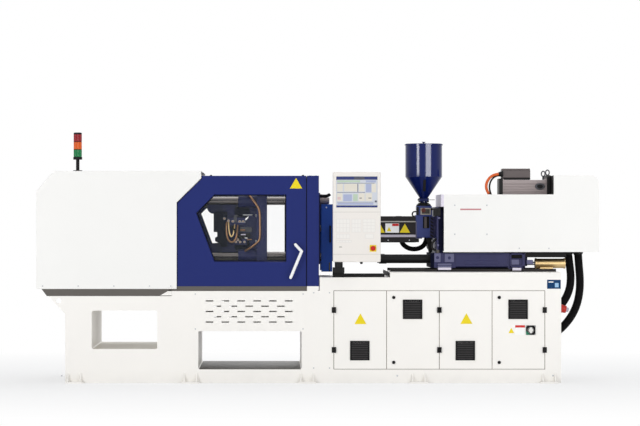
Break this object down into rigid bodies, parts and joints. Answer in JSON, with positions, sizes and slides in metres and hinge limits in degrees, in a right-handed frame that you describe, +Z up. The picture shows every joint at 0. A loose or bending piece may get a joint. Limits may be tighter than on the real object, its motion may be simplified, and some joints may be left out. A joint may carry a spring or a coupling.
{
  "type": "injection moulding machine",
  "caption": "Horizontal toggle-clamp injection moulding machine with sliding gates, screw injection unit, hopper, control panel and cabinet doors.",
  "frame": {"origin": "on the floor, at the plane between the clamp bed and the injection bed, midway across the beds", "axes": "+X from the clamp to the injection unit, +Y away from the operator's side, +Z up"},
  "size_m": [4.532, 1.354, 2.008],
  "materials": {
    "bed_white": "satin powder coat",
    "cover_white": "satin powder coat",
    "sill_grey": "matt paint",
    "machined_steel": "ground",
    "ground_bar": "polished",
    "platen_navy": "painted casting",
    "link_steel": "forged, oiled",
    "gate_navy": "gloss paint",
    "guard_blue": "gloss paint",
    "pane_clear": "clear polycarbonate",
    "handle_white": "gloss",
    "hardware_black": "satin black",
    "lock_black": "matt",
    "lever_white": "gloss",
    "light_black": "matt",
    "lens": "translucent look",
    "panel_white": "satin",
    "screen": "display",
    "stop_red": "gloss",
    "barrel_steel": "heat tinted",
    "heater_cover": "matt sheet",
    "feed_blue": "painted casting",
    "hopper_navy": "gloss paint",
    "base_navy": "painted casting",
    "rail_steel": "oiled",
    "drive_brass": "passivated",
    "motor_grey": "satin",
    "cable_sheath": "matt",
    "hose_rubber": "corrugated"
  },
  "bodies": {
    "bed": {"clamp_bed": "bed_white", "injection_bed": "bed_white", "bed_feet": "bed_white", "clamp_sill": "sill_grey", "vent_panels": "bed_white", "side_panels": "bed_white", "door_hinges": "hardware_black", "clamp_cover": "cover_white", "stack_light_base": "light_black", "stack_light_lenses": "lens", "tie_bars": "ground_bar", "fixed_platen": "platen_navy", "gate_posts": "guard_blue", "gate_tracks": "sill_grey", "panel_arm": "hardware_black", "slide_rails": "rail_steel", "thrust_rods": "hardware_black", "carriage_drive": "drive_brass", "supply_hoses": "hose_rubber"},
    "door_1": {"cabinet_door_1": "bed_white"},
    "door_2": {"cabinet_door_2": "bed_white"},
    "door_3": {"cabinet_door_3": "bed_white"},
    "door_4": {"cabinet_door_4": "bed_white"},
    "lower_lock_2": {"lower_lock_2": "lock_black"},
    "upper_lock_2": {"upper_lock_2": "lock_black"},
    "lower_lock_4": {"lower_lock_4": "lock_black"},
    "upper_lock_4": {"upper_lock_4": "lock_black"},
    "main_switch": {"main_switch_lever": "lever_white"},
    "front_gate": {"front_gate": "gate_navy", "front_gate_window": "pane_clear", "front_gate_handle": "handle_white"},
    "rear_gate": {"rear_gate": "gate_navy", "rear_gate_window": "pane_clear"},
    "tail": {"tail_platen": "platen_navy"},
    "platen": {"moving_platen": "platen_navy"},
    "ejector": {"ejector_plate": "machined_steel"},
    "rear_link_upper": {"rear_link_upper": "link_steel"},
    "rear_link_lower": {"rear_link_lower": "link_steel"},
    "front_link_upper": {"front_link_upper": "link_steel"},
    "front_link_lower": {"front_link_lower": "link_steel"},
    "crosshead": {"crosshead": "link_steel"},
    "crosshead_link_upper": {"crosshead_link_upper": "link_steel"},
    "crosshead_link_lower": {"crosshead_link_lower": "link_steel"},
    "clamp_screw": {"clamp_screw": "machined_steel"},
    "panel": {"control_panel": "panel_white", "panel_screen": "screen"},
    "emergency_stop": {"emergency_stop": "stop_red"},
    "purge_guard": {"purge_guard": "guard_blue"},
    "carriage": {"barrel": "barrel_steel", "barrel_cover": "heater_cover", "feed_block": "feed_blue", "hopper": "hopper_navy", "injection_base": "base_navy", "injection_cover": "cover_white", "injection_motor": "motor_grey", "carriage_cables": "cable_sheath"},
    "hopper_lid": {"hopper_lid": "hopper_navy"},
    "hopper_slide": {"hopper_slide": "machined_steel"},
    "ram": {"injection_ram": "base_navy"},
    "screw": {"plasticising_screw": "machined_steel"}
  },
  "joints": [
    {"name": "front_gate_slide", "type": "slide", "parent": "bed", "child": "front_gate", "axis": [1, 0, 0], "range_m": [-0.8, 0]},
    {"name": "rear_gate_slide", "type": "slide", "parent": "bed", "child": "rear_gate", "axis": [1, 0, 0], "range_m": [-0.8, 0]},
    {"name": "die_height_slide", "type": "slide", "parent": "bed", "child": "tail", "axis": [1, 0, 0], "range_m": [-0.06, 0.06]},
    {"name": "platen_slide", "type": "slide", "parent": "tail", "child": "platen", "axis": [1, 0, 0], "range_m": [-0.15, 0.12]},
    {"name": "rear_link_upper_turn", "type": "hinge", "parent": "tail", "child": "rear_link_upper", "pos_m": [-1.36368, 0, 1.29], "axis": [0, -1, 0], "range_deg": [-18.8, 23.4]},
    {"name": "rear_link_lower_turn", "type": "hinge", "parent": "tail", "child": "rear_link_lower", "pos_m": [-1.36368, 0, 1.18], "axis": [0, 1, 0], "range_deg": [-18.8, 23.4]},
    {"name": "front_link_upper_turn", "type": "hinge", "parent": "platen", "child": "front_link_upper", "pos_m": [-0.86, 0, 1.405], "axis": [0, 1, 0], "range_deg": [-8.9, 11.1]},
    {"name": "front_link_lower_turn", "type": "hinge", "parent": "platen", "child": "front_link_lower", "pos_m": [-0.86, 0, 1.065], "axis": [0, -1, 0], "range_deg": [-8.9, 11.1]},
    {"name": "crosshead_slide", "type": "slide", "parent": "tail", "child": "crosshead", "axis": [1, 0, 0], "range_m": [-0.085, 0.068]},
    {"name": "crosshead_link_upper_turn", "type": "hinge", "parent": "crosshead", "child": "crosshead_link_upper", "pos_m": [-1.09637, 0, 1.297], "axis": [0, 1, 0], "range_deg": [-8.1, 10.1]},
    {"name": "crosshead_link_lower_turn", "type": "hinge", "parent": "crosshead", "child": "crosshead_link_lower", "pos_m": [-1.09637, 0, 1.173], "axis": [0, -1, 0], "range_deg": [-8.1, 10.1]},
    {"name": "clamp_screw_turn", "type": "hinge", "parent": "tail", "child": "clamp_screw", "pos_m": [-1.36368, 0, 1.235], "axis": [1, 0, 0], "range_deg": [-760, 610]},
    {"name": "ejector_slide", "type": "slide", "parent": "platen", "child": "ejector", "axis": [1, 0, 0], "range_m": [0, 0.1]},
    {"name": "purge_guard_slide", "type": "slide", "parent": "bed", "child": "purge_guard", "axis": [1, 0, 0], "range_m": [0, 0.145]},
    {"name": "panel_swivel", "type": "hinge", "parent": "bed", "child": "panel", "pos_m": [0.15, -0.6625, 0.95], "axis": [0, 0, -1], "range_deg": [0, 90]},
    {"name": "emergency_stop_press", "type": "slide", "parent": "panel", "child": "emergency_stop", "axis": [0, 1, 0], "range_m": [0, 0.004]},
    {"name": "door_1_hinge", "type": "hinge", "parent": "bed", "child": "door_1", "pos_m": [0.123, -0.5833, 0.42], "axis": [0, 0, -1], "range_deg": [0, 110]},
    {"name": "door_2_hinge", "type": "hinge", "parent": "bed", "child": "door_2", "pos_m": [0.9462, -0.5833, 0.42], "axis": [0, 0, 1], "range_deg": [0, 90]},
    {"name": "door_3_hinge", "type": "hinge", "parent": "bed", "child": "door_3", "pos_m": [0.9662, -0.5833, 0.42], "axis": [0, 0, -1], "range_deg": [0, 90]},
    {"name": "door_4_hinge", "type": "hinge", "parent": "bed", "child": "door_4", "pos_m": [1.7894, -0.5833, 0.42], "axis": [0, 0, 1], "range_deg": [0, 110]},
    {"name": "lower_lock_2_turn", "type": "hinge", "parent": "door_2", "child": "lower_lock_2", "pos_m": [0.5916, -0.575, 0.166], "axis": [0, 1, 0], "range_deg": [0, 90]},
    {"name": "upper_lock_2_turn", "type": "hinge", "parent": "door_2", "child": "upper_lock_2", "pos_m": [0.5916, -0.575, 0.685], "axis": [0, 1, 0], "range_deg": [0, 90]},
    {"name": "lower_lock_4_turn", "type": "hinge", "parent": "door_4", "child": "lower_lock_4", "pos_m": [1.4348, -0.575, 0.166], "axis": [0, 1, 0], "range_deg": [0, 90]},
    {"name": "upper_lock_4_turn", "type": "hinge", "parent": "door_4", "child": "upper_lock_4", "pos_m": [1.4348, -0.575, 0.685], "axis": [0, 1, 0], "range_deg": [0, 90]},
    {"name": "main_switch_turn", "type": "hinge", "parent": "door_4", "child": "main_switch", "pos_m": [1.6858, -0.6, 0.424], "axis": [0, 1, 0], "range_deg": [0, 90]},
    {"name": "carriage_slide", "type": "slide", "parent": "bed", "child": "carriage", "axis": [1, 0, 0], "range_m": [-0.095, 0.25], "deforming": ["supply_hoses"]},
    {"name": "ram_slide", "type": "slide", "parent": "carriage", "child": "ram", "axis": [1, 0, 0], "range_m": [0, 0.15]},
    {"name": "screw_turn", "type": "hinge", "parent": "ram", "child": "screw", "pos_m": [1.18, 0, 1.235], "axis": [1, 0, 0], "continuous": true},
    {"name": "hopper_slide_pull", "type": "slide", "parent": "carriage", "child": "hopper_slide", "axis": [1, 0, 0], "range_m": [-0.058, 0]},
    {"name": "hopper_lid_lift", "type": "slide", "parent": "carriage", "child": "hopper_lid", "axis": [0, 0, 1], "range_m": [0, 0.15]}
  ],
  "couplings": [
    {"joint": "rear_link_upper_turn", "follows": "platen_slide", "rad_per_m": -2.6921},
    {"joint": "rear_link_lower_turn", "follows": "platen_slide", "rad_per_m": -2.6921},
    {"joint": "front_link_upper_turn", "follows": "platen_slide", "rad_per_m": -1.2623},
    {"joint": "front_link_lower_turn", "follows": "platen_slide", "rad_per_m": -1.2623},
    {"joint": "crosshead_slide", "follows": "platen_slide", "ratio": 0.559},
    {"joint": "crosshead_link_upper_turn", "follows": "platen_slide", "rad_per_m": -1.1516},
    {"joint": "crosshead_link_lower_turn", "follows": "platen_slide", "rad_per_m": -1.1516},
    {"joint": "clamp_screw_turn", "follows": "platen_slide", "rad_per_m": 87.81}
  ]
}
